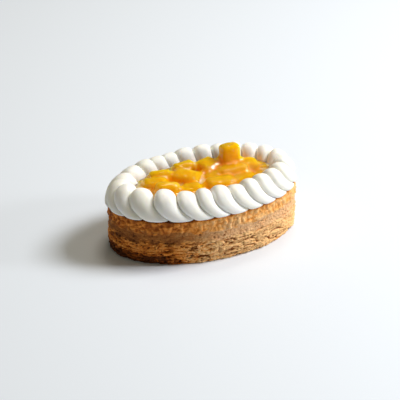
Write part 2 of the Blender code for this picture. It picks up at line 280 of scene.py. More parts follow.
def baked_puff_pastry():
    """Puff pastry baked in a ring: dry and matt, tan with lighter flakes and painted highlights on its
    ridges, brown on its left, with painted shade in its cracks and under the cream.
    """
    material, tree, output = new_material("baked_puff_pastry")
    place = node(tree, "ShaderNodeTexCoord").outputs["Object"]
    across = node(tree, "ShaderNodeSeparateXYZ", {0: place})
    height = across.outputs["Z"]
    crack = node(tree, "ShaderNodeAttribute", attribute_name="crack").outputs["Fac"]
    pale_and_highlight = node(tree, "ShaderNodeAttribute", attribute_name="pale_and_highlight").outputs["Fac"]
    # Browned patches 3 to 10 mm across, drawn out along the layers
    stretch = node(tree, "ShaderNodeMapping", {"Vector": place, "Scale": (1.0, 1.0, 2.2)}).outputs[0]
    patch = node(
        tree, "ShaderNodeTexNoise", {"Vector": stretch, "Scale": 170.0, "Detail": 4.0, "Roughness": 0.6}
    ).outputs[0]
    # It baked darkest at the left end and at its foot, it is painted darker just under the cream, where the
    # cream's overhang shades it, and lighter where crumb or flakes show and where a ridge carries a painted
    # highlight
    left_side = spread_value(tree, across.outputs["X"], 0.006, -0.036)
    high_up = spread_value(tree, height, 0.0165, 0.0195, 0.0, 0.10)
    low_down = spread_value(tree, height, 0.0022, 0.0006, 0.0, 0.22)
    burnt = spread_value(tree, across.outputs["X"], -0.020, -0.034)
    near_foot = spread_value(tree, height, 0.0078, 0.0026, 0.0, 0.52)
    burnt_edge = node(tree, "ShaderNodeMath", {0: burnt, 1: near_foot}, operation="MULTIPLY").outputs[0]
    # Painted shade: a band just under the cream is coloured darker, where the cream's overhang shades the
    # rim
    shade_under_cream = spread_value(tree, height, 0.0238, 0.0252, 0.0, 0.45)
    patchy = spread_value(tree, patch, 0.35, 0.66, -0.14, 0.16)
    # The lighter flakes and the painted highlights on ridges lighten the crust here
    paler_and_highlight = node(tree, "ShaderNodeMath", {0: pale_and_highlight, 1: -0.28}, operation="MULTIPLY").outputs[0]
    # The torn layers in the middle of the front show pale crumb
    torn_height = spread_value(tree, height, 0.0125, 0.0095, 0.0, -0.18)
    right_of_burnt = spread_value(tree, across.outputs["X"], -0.024, -0.008)
    bare = node(tree, "ShaderNodeMath", {0: torn_height, 1: right_of_burnt}, operation="MULTIPLY")
    side_share = node(tree, "ShaderNodeMath", {0: left_side, 1: 0.55}, operation="MULTIPLY").outputs[0]
    shares = (side_share, high_up, low_down, burnt_edge, shade_under_cream, patchy, paler_and_highlight, bare.outputs[0])
    browned = added(tree, *shares, BROWNED_ALL_OVER)
    crust = ramp(
        tree,
        browned,
        [(0.0, "#FFD092"), (0.22, "#FFBC6C"), (0.50, "#EE983E"), (0.78, "#AA5C18"), (1.0, "#5E2E0A")],
    )
    # The band half way up is dusted with flour and greyer, and its edges wander
    wander = spread_value(tree, patch, 0.30, 0.70, -0.0020, 0.0020)
    level = added(tree, height, wander)
    above = spread_value(tree, level, 0.0110, 0.0136)
    below = spread_value(tree, level, 0.0194, 0.0168)
    band = node(tree, "ShaderNodeMath", {0: above, 1: below}, operation="MULTIPLY").outputs[0]
    dust = node(tree, "ShaderNodeMath", {0: band, 1: 0.62}, operation="MULTIPLY").outputs[0]
    dust_colour = ramp(tree, left_side, [(0.0, "#F0C298"), (0.4, "#946542"), (1.0, "#583620")])
    dusted = mix_colour(tree, dust, crust, dust_colour)
    # Fine crumb, about 0.7 mm
    crumb = node(
        tree, "ShaderNodeTexNoise", {"Vector": place, "Scale": 1300.0, "Detail": 3.0, "Roughness": 0.6}
    ).outputs[0]
    speckle = ramp(tree, crumb, [(0.30, "#B49880"), (0.70, "#FFFFFF")])
    speckled = mix_colour(tree, 0.5, dusted, speckle, "MULTIPLY")
    # Painted shade: the cracks are coloured deep brown, deepest at the left end, where shade falls in them
    crack_shade = spread_value(tree, crack, 0.08, 0.75, 0.0, 0.85)
    crack_shade_colour = ramp(tree, left_side, [(0.0, "#98501E"), (0.6, "#5A280C"), (1.0, "#301004")])
    cracked = mix_colour(tree, crack_shade, speckled, crack_shade_colour)
    bump = node(tree, "ShaderNodeBump", {"Strength": 0.5, "Distance": 0.0003, "Height": crumb})
    shader = node(
        tree,
        "ShaderNodeBsdfPrincipled",
        {
            "Base Color": cracked,
            "Roughness": 0.62,
            "Specular IOR Level": 0.12,
            "Subsurface Weight": 0.10,
            "Subsurface Radius": (0.0012, 0.0006, 0.0003),
            "Subsurface Scale": 1.0,
            "Normal": bump.outputs[0],
        },
    )
    tree.links.new(shader.outputs[0], output.inputs["Surface"])
    return material


puff_pastry = build_pastry()
puff_pastry.data.materials.append(baked_puff_pastry())
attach(puff_pastry, "root")
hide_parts("pastry_base")

# Rope of whipped cream
# Stiff whipped cream, piped from a round nozzle in one twisted rope along the rim: each lobe starts on
# the inner side, rounds over the crest and sweeps outwards and on to its foot.
# Geometry Nodes bend a grid of rows and columns into that rope along the oval.

ROPE_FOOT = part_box("cream_rope")[0].z / MM
ROPE_WIDTH = 15.7
ROPE_HEIGHT = 12.2
ROPE_OVERHANG = 0.7
ROPE_UNEVEN = 0.5
# Width of each lobe along the middle of the rope, anticlockwise from the front left
LOBE_WIDTHS = (11.4, 11.4, 9.7, 7.7, 9.4, 8.2, 7.8, 7.8, 7.6, 7.5, 7.6, 7.6, 8.0, 8.2, 8.5, 7.5, 9.6)
LOBE_WIDTHS += (9.7, 6.7, 7.6, 8.3, 9.4, 7.3, 6.9, 7.2)
# How much higher than the middling lobe each one is, and how much of that gathers at the crest
LOBE_BULKS = (0.8, 1.5, 0.0, 0.6, 0.9, -0.4, 0.4, 0.4, 0.5, 0.4, 0.2, 0.2, 0.3, 0.0, 0.0, -0.4, -0.1)
LOBE_BULKS += (-0.4, -1.8, -1.5, -0.6, -1.1, -1.5, -0.6, 0.8)
BULK_POWER = 3.0
# How far round the oval the first lobe starts
FIRST_LOBE_START = 112.4
# A lobe's back: how far its crest leans back, and how square its arch is
LOBE_SKEW = 0.86
LOBE_SQUARENESS = 2.3
# How much further out, as a share, the outer half stands round the left end
LEFT_SWELL = 0.12
# How far a lobe runs ahead at its outer foot and falls behind at its inner one, and how suddenly
OUTER_SWEEP = 7.7
OUTER_SWEEP_POWER = 2.2
INNER_SWEEP = 3.0
INNER_SWEEP_POWER = 1.6
# Depth of the grooves from the outer foot over the crest to the inner foot, for a lobe of middling width
GROOVE_DEPTHS = (2.0, 2.7, 3.2, 3.6, 2.8)
DEEPEST_GROOVE = 4.0
MIDDLING_LOBE = 8.35
ROPE_COLUMNS_PER_LOBE = 22
ROPE_ROWS = 46
TRACK_POINTS = 720
ROPE_WELD = 0.001


def lobe_plan():
    """One point for each lobe where it starts, which carries the lobe's start, width and bulk."""
    angles, walked = oval_track(ROPE_OVERHANG - ROPE_WIDTH / 2.0)
    widths = np.array(LOBE_WIDTHS) * walked[-1] / sum(LOBE_WIDTHS)
    starts = FIRST_LOBE_START + np.concatenate([[0.0], np.cumsum(widths)[:-1]])
    places = [oval_point(np.interp(s % walked[-1], walked, angles), 0.0) for s in starts]
    mesh = bpy.data.meshes.new("lobe_plan")
    mesh.from_pydata([(x * MM, y * MM, 0.0) for x, y in places], [], [])
    for name, values in (
        ("start", starts),
        ("width", widths),
        ("bulk", np.array(LOBE_BULKS)),
    ):
        mesh.attributes.new(name, "FLOAT", "POINT").data.foreach_set("value", values)
    return mesh, float(walked[-1])


def piped_rope_tree(around):
    """Bends a grid into the rope. Sizes are in millimetres until the last step."""
    tree = bpy.data.node_groups.new("piped_rope", "GeometryNodeTree")
    face = tree.interface
    face.new_socket("Geometry", in_out="INPUT", socket_type="NodeSocketGeometry")
    for name, value in (
        ("Rope Width", ROPE_WIDTH),
        ("Rope Height", ROPE_HEIGHT),
        ("Foot Height", ROPE_FOOT),
        ("Outer Sweep", OUTER_SWEEP),
        ("Inner Sweep", INNER_SWEEP),
        ("Left Swell", LEFT_SWELL),
        ("Uneven", ROPE_UNEVEN),
    ):
        face.new_socket(name, in_out="INPUT", socket_type="NodeSocketFloat").default_value = value
    face.new_socket("Cream", in_out="INPUT", socket_type="NodeSocketMaterial")
    face.new_socket("Geometry", in_out="OUTPUT", socket_type="NodeSocketGeometry")
    given = node(tree, "NodeGroupInput")
    math_node = "ShaderNodeMath"
    vector_node = "ShaderNodeVectorMath"

    # The middle line of the rope: the oval, moved inwards by half the rope less its overhang
    circle = node(tree, "GeometryNodeCurvePrimitiveCircle", {"Resolution": TRACK_POINTS, "Radius": 1.0})
    around_circle = node(tree, "GeometryNodeInputPosition").outputs[0]
    oval = node(
        tree,
        vector_node,
        {0: around_circle, 1: (OVAL_HALF_LENGTH, OVAL_HALF_WIDTH, 0.0)},
        operation="MULTIPLY",
    )
    outward = node(
        tree,
        vector_node,
        {0: around_circle, 1: (OVAL_HALF_WIDTH, OVAL_HALF_LENGTH, 0.0)},
        operation="MULTIPLY",
    )
    outward = node(tree, vector_node, {0: outward.outputs[0]}, operation="NORMALIZE")
    inset = node(
        tree,
        math_node,
        {0: given.outputs["Rope Width"], 1: -0.5, 2: ROPE_OVERHANG},
        operation="MULTIPLY_ADD",
    )
    inwards = node(
        tree, vector_node, {0: outward.outputs[0], "Scale": inset.outputs[0]}, operation="SCALE"
    )
    line = node(tree, vector_node, {0: oval.outputs[0], 1: inwards.outputs[0]}, operation="ADD")
    track = node(
        tree,
        "GeometryNodeSetPosition",
        {"Geometry": circle.outputs[0], "Position": line.outputs[0]},
    )

    # The grid: columns along the rope, and rows over its half section with one more under it
    lobes = len(LOBE_WIDTHS)
    columns = lobes * ROPE_COLUMNS_PER_LOBE
    grid = node(
        tree,
        "GeometryNodeMeshGrid",
        {"Size X": 1.0, "Size Y": 1.0, "Vertices X": columns + 1, "Vertices Y": ROPE_ROWS + 2},
    )
    cell = node(tree, "ShaderNodeSeparateXYZ", {0: node(tree, "GeometryNodeInputPosition").outputs[0]})
    column = node(
        tree, math_node, {0: cell.outputs["X"], 1: columns, 2: columns / 2.0}, operation="MULTIPLY_ADD"
    )
    column = node(tree, math_node, {0: column.outputs[0]}, operation="ROUND")
    rows = ROPE_ROWS + 1
    row = node(tree, math_node, {0: cell.outputs["Y"], 1: rows, 2: rows / 2.0}, operation="MULTIPLY_ADD")
    row = node(tree, math_node, {0: row.outputs[0]}, operation="ROUND")
    row = node(tree, math_node, {0: row.outputs[0], 1: float(rows)}, operation="MODULO")
    turn = node(tree, math_node, {0: row.outputs[0], 1: math.pi / ROPE_ROWS}, operation="MULTIPLY")
    sine = node(tree, math_node, {0: turn.outputs[0]}, operation="SINE")
    cosine = node(tree, math_node, {0: turn.outputs[0]}, operation="COSINE")

    # Which lobe a column belongs to, and how far across it the column lies. A hair is added before
    # rounding down, so that the column a lobe starts with counts as its own
    along_lobes = node(
        tree, math_node, {0: column.outputs[0], 1: float(ROPE_COLUMNS_PER_LOBE)}, operation="DIVIDE"
    )
    lobe = node(tree, math_node, {0: along_lobes.outputs[0], 1: 0.001}, operation="ADD")
    lobe = node(tree, math_node, {0: lobe.outputs[0]}, operation="FLOOR")
    share = node(tree, math_node, {0: along_lobes.outputs[0], 1: lobe.outputs[0]}, operation="SUBTRACT")
    lobe = node(tree, math_node, {0: lobe.outputs[0], 1: float(lobes)}, operation="MODULO")
    read = {}
    for name in ("start", "width", "bulk"):
        stored = node(tree, "GeometryNodeInputNamedAttribute", {"Name": name}, data_type="FLOAT")
        read[name] = node(
            tree,
            "GeometryNodeSampleIndex",
            {"Geometry": given.outputs["Geometry"], "Value": stored.outputs[0], "Index": lobe.outputs[0]},
            data_type="FLOAT",
        ).outputs[0]

    # The round back of a lobe: 0 in the grooves at both ends and 1 on top
    skewed = node(tree, math_node, {0: share.outputs[0], 1: LOBE_SKEW}, operation="POWER")
    across = node(tree, math_node, {0: skewed.outputs[0], 1: 2.0, 2: -1.0}, operation="MULTIPLY_ADD")
    across = node(tree, math_node, {0: across.outputs[0]}, operation="ABSOLUTE")
    across = node(tree, math_node, {0: across.outputs[0], 1: LOBE_SQUARENESS}, operation="POWER")
    arch = node(tree, math_node, {0: 1.0, 1: across.outputs[0]}, operation="SUBTRACT", use_clamp=True)
    arch = node(tree, math_node, {0: arch.outputs[0]}, operation="SQRT")

    # How far the surface sinks below the smooth section, by the groove's depth at this turn
    over = node(tree, math_node, {0: turn.outputs[0], 1: math.pi}, operation="DIVIDE")
    depth = node(tree, "ShaderNodeFloatCurve", {"Value": over.outputs[0]})
    profile = depth.mapping.curves[0].points
    while len(profile) < len(GROOVE_DEPTHS):
        profile.new(0.5, 0.5)
    for number, value in enumerate(GROOVE_DEPTHS):
        profile[number].location = (number / (len(GROOVE_DEPTHS) - 1), value / DEEPEST_GROOVE)
    depth.mapping.update()
    groove = node(
        tree, math_node, {0: depth.outputs[0], 1: DEEPEST_GROOVE / MIDDLING_LOBE}, operation="MULTIPLY"
    )
    groove = node(tree, math_node, {0: groove.outputs[0], 1: read["width"]}, operation="MULTIPLY")
    low = node(tree, math_node, {0: 1.0, 1: arch.outputs[0]}, operation="SUBTRACT")
    sunk = node(tree, math_node, {0: groove.outputs[0], 1: low.outputs[0]}, operation="MULTIPLY")
    crest = node(tree, math_node, {0: sine.outputs[0], 1: BULK_POWER}, operation="POWER")
    bulge = node(tree, math_node, {0: arch.outputs[0], 1: crest.outputs[0]}, operation="MULTIPLY")
    bulge = node(tree, math_node, {0: bulge.outputs[0], 1: read["bulk"]}, operation="MULTIPLY")
    sunk = node(tree, math_node, {0: sunk.outputs[0], 1: bulge.outputs[0]}, operation="SUBTRACT")

    # The section: half an ellipse, with the surface moved along its own normal
    half = node(tree, math_node, {0: given.outputs["Rope Width"], 1: 0.5}, operation="MULTIPLY")
    wide = node(tree, math_node, {0: cosine.outputs[0], 1: half.outputs[0]}, operation="MULTIPLY")
    tall = node(
        tree, math_node, {0: sine.outputs[0], 1: given.outputs["Rope Height"]}, operation="MULTIPLY"
    )
    lean = node(
        tree, math_node, {0: cosine.outputs[0], 1: given.outputs["Rope Height"]}, operation="MULTIPLY"
    )
    stand = node(tree, math_node, {0: sine.outputs[0], 1: half.outputs[0]}, operation="MULTIPLY")
    normal = node(tree, "ShaderNodeCombineXYZ", {0: lean.outputs[0], 1: stand.outputs[0]})
    normal = node(tree, vector_node, {0: normal.outputs[0]}, operation="NORMALIZE")
    drop = node(
        tree, vector_node, {0: normal.outputs[0], "Scale": sunk.outputs[0]}, operation="SCALE"
    )
    smooth = node(tree, "ShaderNodeCombineXYZ", {0: wide.outputs[0], 1: tall.outputs[0]})
    section = node(tree, vector_node, {0: smooth.outputs[0], 1: drop.outputs[0]}, operation="SUBTRACT")
    section = node(tree, "ShaderNodeSeparateXYZ", {0: section.outputs[0]})
    lift = node(tree, math_node, {0: section.outputs["Y"], 1: 0.0}, operation="MAXIMUM")
    lift = node(
        tree, math_node, {0: lift.outputs[0], 1: given.outputs["Foot Height"]}, operation="ADD"
    )

    # The sweep: on the outside a lobe runs ahead towards its foot, on the inside it falls behind
    rise = node(tree, math_node, {0: 1.0, 1: sine.outputs[0]}, operation="SUBTRACT", use_clamp=True)
    ahead = node(tree, math_node, {0: rise.outputs[0], 1: OUTER_SWEEP_POWER}, operation="POWER")
    ahead = node(
        tree, math_node, {0: ahead.outputs[0], 1: given.outputs["Outer Sweep"]}, operation="MULTIPLY"
    )
    behind = node(tree, math_node, {0: rise.outputs[0], 1: INNER_SWEEP_POWER}, operation="POWER")
    behind = node(
        tree, math_node, {0: behind.outputs[0], 1: given.outputs["Inner Sweep"]}, operation="MULTIPLY"
    )
    behind = node(tree, math_node, {0: behind.outputs[0], 1: -1.0}, operation="MULTIPLY")
    outside = node(tree, math_node, {0: cosine.outputs[0], 1: 0.0}, operation="GREATER_THAN")
    sweep = node(
        tree, "ShaderNodeMix", {0: outside.outputs[0], 2: behind.outputs[0], 3: ahead.outputs[0]}
    )
    along = node(
        tree, math_node, {0: share.outputs[0], 1: read["width"], 2: read["start"]}, operation="MULTIPLY_ADD"
    )
    along = node(tree, math_node, {0: along.outputs[0], 1: sweep.outputs[0]}, operation="ADD")
    along = node(tree, math_node, {0: along.outputs[0], 1: around}, operation="MODULO")

    # Where that is on the middle line
    spot = node(
        tree,
        "GeometryNodeSampleCurve",
        {"Curves": track.outputs[0], "Length": along.outputs[0]},
        mode="LENGTH",
        use_all_curves=True,
    )
    side = node(
        tree, vector_node, {0: spot.outputs["Tangent"], 1: (0.0, 0.0, 1.0)}, operation="CROSS_PRODUCT"
    )
    # Round the left end, where the side points to -X, the outer half stands out further
    facing = node(tree, "ShaderNodeSeparateXYZ", {0: side.outputs[0]})
    leftness = node(tree, math_node, {0: facing.outputs["X"], 1: -1.0}, operation="MULTIPLY")
    leftness = node(tree, math_node, {0: leftness.outputs[0], 1: 0.0}, operation="MAXIMUM")
    leftness = node(tree, math_node, {0: leftness.outputs[0], 1: outside.outputs[0]}, operation="MULTIPLY")
    swollen = node(
        tree,
        math_node,
        {0: leftness.outputs[0], 1: given.outputs["Left Swell"], 2: 1.0},
        operation="MULTIPLY_ADD",
    )
    reach = node(
        tree, math_node, {0: section.outputs["X"], 1: swollen.outputs[0]}, operation="MULTIPLY"
    )
    side = node(tree, vector_node, {0: side.outputs[0], "Scale": reach.outputs[0]}, operation="SCALE")
    up = node(tree, "ShaderNodeCombineXYZ", {2: lift.outputs[0]})
    place = node(tree, vector_node, {0: spot.outputs["Position"], 1: side.outputs[0]}, operation="ADD")
    place = node(tree, vector_node, {0: place.outputs[0], 1: up.outputs[0]}, operation="ADD")

    # A hand-piped rope is never even: soft swellings about 9 mm apart, none at its flat foot
    swell = node(tree, "ShaderNodeTexNoise", {"Vector": place.outputs[0], "Scale": 0.11, "Detail": 1.0})
    swell = node(
        tree, vector_node, {0: swell.outputs["Color"], 1: (0.5, 0.5, 0.5)}, operation="SUBTRACT"
    )
    much = node(tree, math_node, {0: sine.outputs[0], 1: given.outputs["Uneven"]}, operation="MULTIPLY")
    much = node(tree, math_node, {0: much.outputs[0], 1: 2.0}, operation="MULTIPLY")
    swell = node(tree, vector_node, {0: swell.outputs[0], "Scale": much.outputs[0]}, operation="SCALE")
    place = node(tree, vector_node, {0: place.outputs[0], 1: swell.outputs[0]}, operation="ADD")
    place = node(tree, vector_node, {0: place.outputs[0], "Scale": MM}, operation="SCALE")

    bent = node(
        tree, "GeometryNodeSetPosition", {"Geometry": grid.outputs[0], "Position": place.outputs[0]}
    )
    welded = node(
        tree, "GeometryNodeMergeByDistance", {"Geometry": bent.outputs[0], "Distance": ROPE_WELD * MM}
    )
    shaded = node(tree, "GeometryNodeSetShadeSmooth", {"Geometry": welded.outputs[0]})
    real = node(tree, "GeometryNodeRealizeInstances", {"Geometry": shaded.outputs[0]})
    painted = node(
        tree,
        "GeometryNodeSetMaterial",
        {"Geometry": real.outputs[0], "Material": given.outputs["Cream"]},
    )
    node(tree, "NodeGroupOutput", {"Geometry": painted.outputs[0]})
    return tree


def whipped_cream():
    """Stiffly whipped cream: dense fine bubbles, so it is white, soft-edged and barely shiny."""
    material, tree, output = new_material("whipped_cream")
    place = node(tree, "ShaderNodeTexCoord").outputs["Object"]
    blush = node(tree, "ShaderNodeTexNoise", {"Vector": place, "Scale": 60.0, "Detail": 2.0})
    colour = ramp(tree, blush.outputs[0], [(0.35, "#F4F3EA"), (0.65, "#FBFAF6")])
    # On its inner flank, where it lies against the glaze, it is painted greyer as painted shade: 1 is the
    # oval's edge
    to_oval = (1.0 / (OVAL_HALF_LENGTH * MM), 1.0 / (OVAL_HALF_WIDTH * MM), 0.0)
    outwards = node(tree, "ShaderNodeVectorMath", {0: place, 1: to_oval}, operation="MULTIPLY")
    outwards = node(tree, "ShaderNodeVectorMath", {0: outwards.outputs[0]}, operation="LENGTH")
    inner = spread_value(tree, outwards.outputs["Value"], 0.79, 0.60)
    colour = mix_colour(tree, inner, colour, "#CED2D1")
    # Fine bubbles, about 0.4 mm across
    bubbles = node(
        tree, "ShaderNodeTexNoise", {"Vector": place, "Scale": 1400.0, "Detail": 2.0, "Roughness": 0.5}
    )
    bump = node(
        tree, "ShaderNodeBump", {"Strength": 0.12, "Distance": 0.0001, "Height": bubbles.outputs[0]}
    )
    shader = node(
        tree,
        "ShaderNodeBsdfPrincipled",
        {
            "Base Color": colour,
            "Roughness": 0.48,
            "Specular IOR Level": 0.35,
            "Subsurface Weight": 0.35,
            "Subsurface Radius": (0.0022, 0.0019, 0.0014),
            "Subsurface Scale": 1.0,
            "Normal": bump.outputs[0],
        },
    )
    tree.links.new(shader.outputs[0], output.inputs["Surface"])
    return material


def grown(name, mesh, tree, values):
    """Runs a Geometry Nodes tree on a mesh and keeps the result as a plain mesh object."""
    start = bpy.data.objects.new(name + "_plan", mesh)
    bpy.context.scene.collection.objects.link(start)
    modifier = start.modifiers.new(name, "NODES")
    modifier.node_group = tree
    sockets = {item.name: item.identifier for item in tree.interface.items_tree if item.in_out == "INPUT"}
    for label, value in values.items():
        modifier[sockets[label]] = value
    graph = bpy.context.evaluated_depsgraph_get()
    made = bpy.data.meshes.new_from_object(start.evaluated_get(graph), depsgraph=graph)
    bpy.data.objects.remove(start, do_unlink=True)
    made.name = name
    piece = bpy.data.objects.new(name, made)
    bpy.context.scene.collection.objects.link(piece)
    return piece


plan_mesh, rope_around = lobe_plan()
piped_cream = grown("piped_cream", plan_mesh, piped_rope_tree(rope_around), {"Cream": whipped_cream()})
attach(piped_cream, "root")
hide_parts("cream_rope")

# Diced mango
# Ripe mango, cut with a knife in dice about 8 to 15 mm across and heaped inside the cream.
# Each dice stands where its solid stands. It gets an even fine skin, rounded edges and faces that wave.

MANGO_NODES = sorted(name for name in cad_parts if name.startswith("mango_chunk"))
# Spacing of the skin's points and rounds of smoothing, then its growth and its waves
DICE_VOXEL = 0.34
DICE_SMOOTHING = 9
DICE_GROWTH = 0.10
DICE_UNEVEN = 0.2
DICE_WAVE = 4.0
MERGE_DISTANCE = 0.0001
# How far red, green and blue light travel inside ripe mango, in metres
MANGO_GLOW = (0.0200, 0.0200, 0.0015)


def merged_copy(node_name):
    """A copy of a solid's mesh with its loose triangles joined."""
    work = bmesh.new()
    work.from_mesh(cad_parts[node_name].data)
    bmesh.ops.remove_doubles(work, verts=work.verts, dist=MERGE_DISTANCE * MM)
    mesh = bpy.data.meshes.new(node_name + "_copy")
    work.to_mesh(mesh)
    work.free()
    return mesh


def remeshed(name, mesh, voxel, smoothing):
    """The mesh as an object with an even fine skin, its corners softened."""
    start = bpy.data.objects.new(name + "_start", mesh)
    bpy.context.scene.collection.objects.link(start)
    skin = start.modifiers.new("skin", "REMESH")
    skin.mode = "VOXEL"
    skin.voxel_size = voxel * MM
    soft = start.modifiers.new("soft", "SMOOTH")
    soft.iterations = smoothing
    soft.factor = 0.5
    graph = bpy.context.evaluated_depsgraph_get()
    made = bpy.data.meshes.new_from_object(start.evaluated_get(graph), depsgraph=graph)
    bpy.data.objects.remove(start, do_unlink=True)
    made.name = name
    made.shade_smooth()
    piece = bpy.data.objects.new(name, made)
    bpy.context.scene.collection.objects.link(piece)
    return piece


def push_out(mesh, steady, uneven, wave):
    """Moves every point along its normal, by a steady amount and by slow noise, in millimetres."""
    places = np.empty(3 * len(mesh.vertices))
    mesh.vertices.foreach_get("co", places)
    places = places.reshape(-1, 3)
    normals = np.array([tuple(normal.vector) for normal in mesh.vertex_normals])
    amounts = [steady + uneven * noise.noise(Vector(place) / (wave * MM)) for place in places]
    mesh.vertices.foreach_set("co", (places + normals * MM * np.array(amounts)[:, None]).ravel())
    mesh.update()


def ripe_mango():
    """Ripe mango flesh, cut: smooth, deep yellow-orange, and light spreads far inside it."""
    material, tree, output = new_material("ripe_mango_flesh")
    place = node(tree, "ShaderNodeTexCoord").outputs["Object"]
    cloud = node(tree, "ShaderNodeTexNoise", {"Vector": place, "Scale": 120.0, "Detail": 3.0})
    colour = ramp(
        tree, cloud.outputs[0], [(0.30, "#E89200"), (0.50, "#EC9E00"), (0.70, "#F0AA00")]
    )
    # Fibres of the flesh, about 0.7 mm apart, faint
    stretch = node(tree, "ShaderNodeMapping", {"Vector": place, "Scale": (0.25, 1.0, 1.0)})
    fibre = node(
        tree, "ShaderNodeTexNoise", {"Vector": stretch.outputs[0], "Scale": 900.0, "Detail": 2.0}
    )
    bump = node(
        tree, "ShaderNodeBump", {"Strength": 0.15, "Distance": 0.0002, "Height": fibre.outputs[0]}
    )
    shader = node(
        tree,
        "ShaderNodeBsdfPrincipled",
        {
            "Base Color": colour,
            "Roughness": 0.40,
            "Specular IOR Level": 0.05,
            "Subsurface Weight": 1.0,
            "Subsurface Radius": MANGO_GLOW,
            "Subsurface Scale": 1.0,
            "Normal": bump.outputs[0],
        },
    )
    tree.links.new(shader.outputs[0], output.inputs["Surface"])
    return material


mango_flesh = ripe_mango()
dice_points = []
dice_faces = []
for mango_node in MANGO_NODES:
    dice_name = mango_node.replace("chunk", "dice")
    dice = remeshed(dice_name, merged_copy(mango_node), DICE_VOXEL, DICE_SMOOTHING)
    push_out(dice.data, DICE_GROWTH, DICE_UNEVEN, DICE_WAVE)
    first = len(dice_points)
    dice_points += [vertex.co.copy() for vertex in dice.data.vertices]
    dice_faces += [[first + corner for corner in face.vertices] for face in dice.data.polygons]
    dice.data.materials.append(mango_flesh)
    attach(dice, "root")
    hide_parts(mango_node)

# Clear amber glaze
# A set fruit jelly poured over the mango: it lies between the dice, climbs a little at the cream, and
# leaves a wet film on every dice, so the heap looks joined.
# The bed and the films are swollen until the gaps close, and shrunk back, which rounds them off.

# Level of the bed over the rope's foot, its climb at the cream, and the film on the dice
GLAZE_LEVEL = 4.8
GLAZE_CLIMB = 1.6
GLAZE_FILM = 0.45
GLAZE_INTO_CREAM = 0.9
GLAZE_VOXEL = 0.36
GLAZE_SWELL = 1.8
GLAZE_SMOOTHING = 2
GLAZE_RIPPLE = 0.30
GLAZE_WAVE = 3.2
GLAZE_COLUMNS = 120
GLAZE_RINGS = 14
# The bed under the dice: the line its columns are spread along, its underside, and its rolling top
BED_TRACK = -15.0
BED_FOOT = 0.02
BED_ROLL = 0.5
BED_ROLL_WIDTH = 6.0
CLIMB_FROM = 0.7


def rope_inside(z):
    """Offset of the rope's inner flank at this height above its foot."""
    share = min(1.0, z / ROPE_HEIGHT)
    return ROPE_OVERHANG - ROPE_WIDTH / 2.0 - ROPE_WIDTH / 2.0 * math.sqrt(1.0 - share**2)


def glaze_bed(work):
    """Adds the bed of jelly inside the rope, with a gently rolling top."""
    angles, walked = oval_track(BED_TRACK)
    spread = np.interp(np.arange(GLAZE_COLUMNS) * walked[-1] / GLAZE_COLUMNS, walked, angles)
    rings = []
    for z in (BED_FOOT, 0.5 * GLAZE_LEVEL, GLAZE_LEVEL + GLAZE_CLIMB):
        offset = rope_inside(z) + GLAZE_INTO_CREAM
        spots = [oval_point(angle, offset) for angle in spread]
        rings.append([Vector((x, y, ROPE_FOOT + z)) for x, y in spots])
    rim = rings[-1]
    for ring in range(1, GLAZE_RINGS):
        inward = 1.0 - ring / GLAZE_RINGS
        spots = []
        for spot in rim:
            x, y = spot.x * inward, spot.y * inward
            roll = BED_ROLL * noise.noise(Vector((x / BED_ROLL_WIDTH, y / BED_ROLL_WIDTH, 3.0)))
            rise = GLAZE_LEVEL + GLAZE_CLIMB * ease(inward, CLIMB_FROM, 1.0) + roll
            spots.append(Vector((x, y, ROPE_FOOT + rise)))
        rings.append(spots)
    verts = [[work.verts.new(spot * MM) for spot in ring] for ring in rings]
    for low, high in zip(verts, verts[1:]):
        for column in range(GLAZE_COLUMNS):
            after = (column + 1) % GLAZE_COLUMNS
            work.faces.new((low[column], low[after], high[after], high[column]))
    work.faces.new(list(reversed(verts[0])))
    work.faces.new(verts[-1])


def build_glaze():
    """Joins the bed and a film round each dice, and closes the narrow gaps between them."""
    work = bmesh.new()
    glaze_bed(work)
    for mango_node in MANGO_NODES:
        copy = merged_copy(mango_node)
        work.from_mesh(copy)
        bpy.data.meshes.remove(copy)
    mesh = bpy.data.meshes.new("glaze_start")
    work.to_mesh(mesh)
    work.free()
    start = bpy.data.objects.new("glaze_start", mesh)
    bpy.context.scene.collection.objects.link(start)
    for number, swell in enumerate((GLAZE_SWELL + GLAZE_FILM, -GLAZE_SWELL)):
        skin = start.modifiers.new(f"skin_{number}", "REMESH")
        skin.mode = "VOXEL"
        skin.voxel_size = GLAZE_VOXEL * MM
        even = start.modifiers.new(f"even_{number}", "SMOOTH")
        even.iterations = GLAZE_SMOOTHING
        grow = start.modifiers.new(f"grow_{number}", "DISPLACE")
        grow.strength = swell * MM
        grow.mid_level = 0.0
    skin = start.modifiers.new("last_skin", "REMESH")
    skin.mode = "VOXEL"
    skin.voxel_size = GLAZE_VOXEL * MM
    soft = start.modifiers.new("last_soft", "SMOOTH")
    soft.iterations = GLAZE_SMOOTHING
    graph = bpy.context.evaluated_depsgraph_get()
    made = bpy.data.meshes.new_from_object(start.evaluated_get(graph), depsgraph=graph)
    bpy.data.objects.remove(start, do_unlink=True)
    made.name = "amber_glaze"
    made.shade_smooth()
    piece = bpy.data.objects.new("amber_glaze", made)
    bpy.context.scene.collection.objects.link(piece)
    return piece


def mark_depth(piece, tree_of_dice):
    """Stores how many millimetres of jelly lie between each point and the nearest dice."""
    depths = [tree_of_dice.find_nearest(vertex.co)[3] / MM for vertex in piece.data.vertices]
    piece.data.attributes.new("depth", "FLOAT", "POINT").data.foreach_set("value", depths)


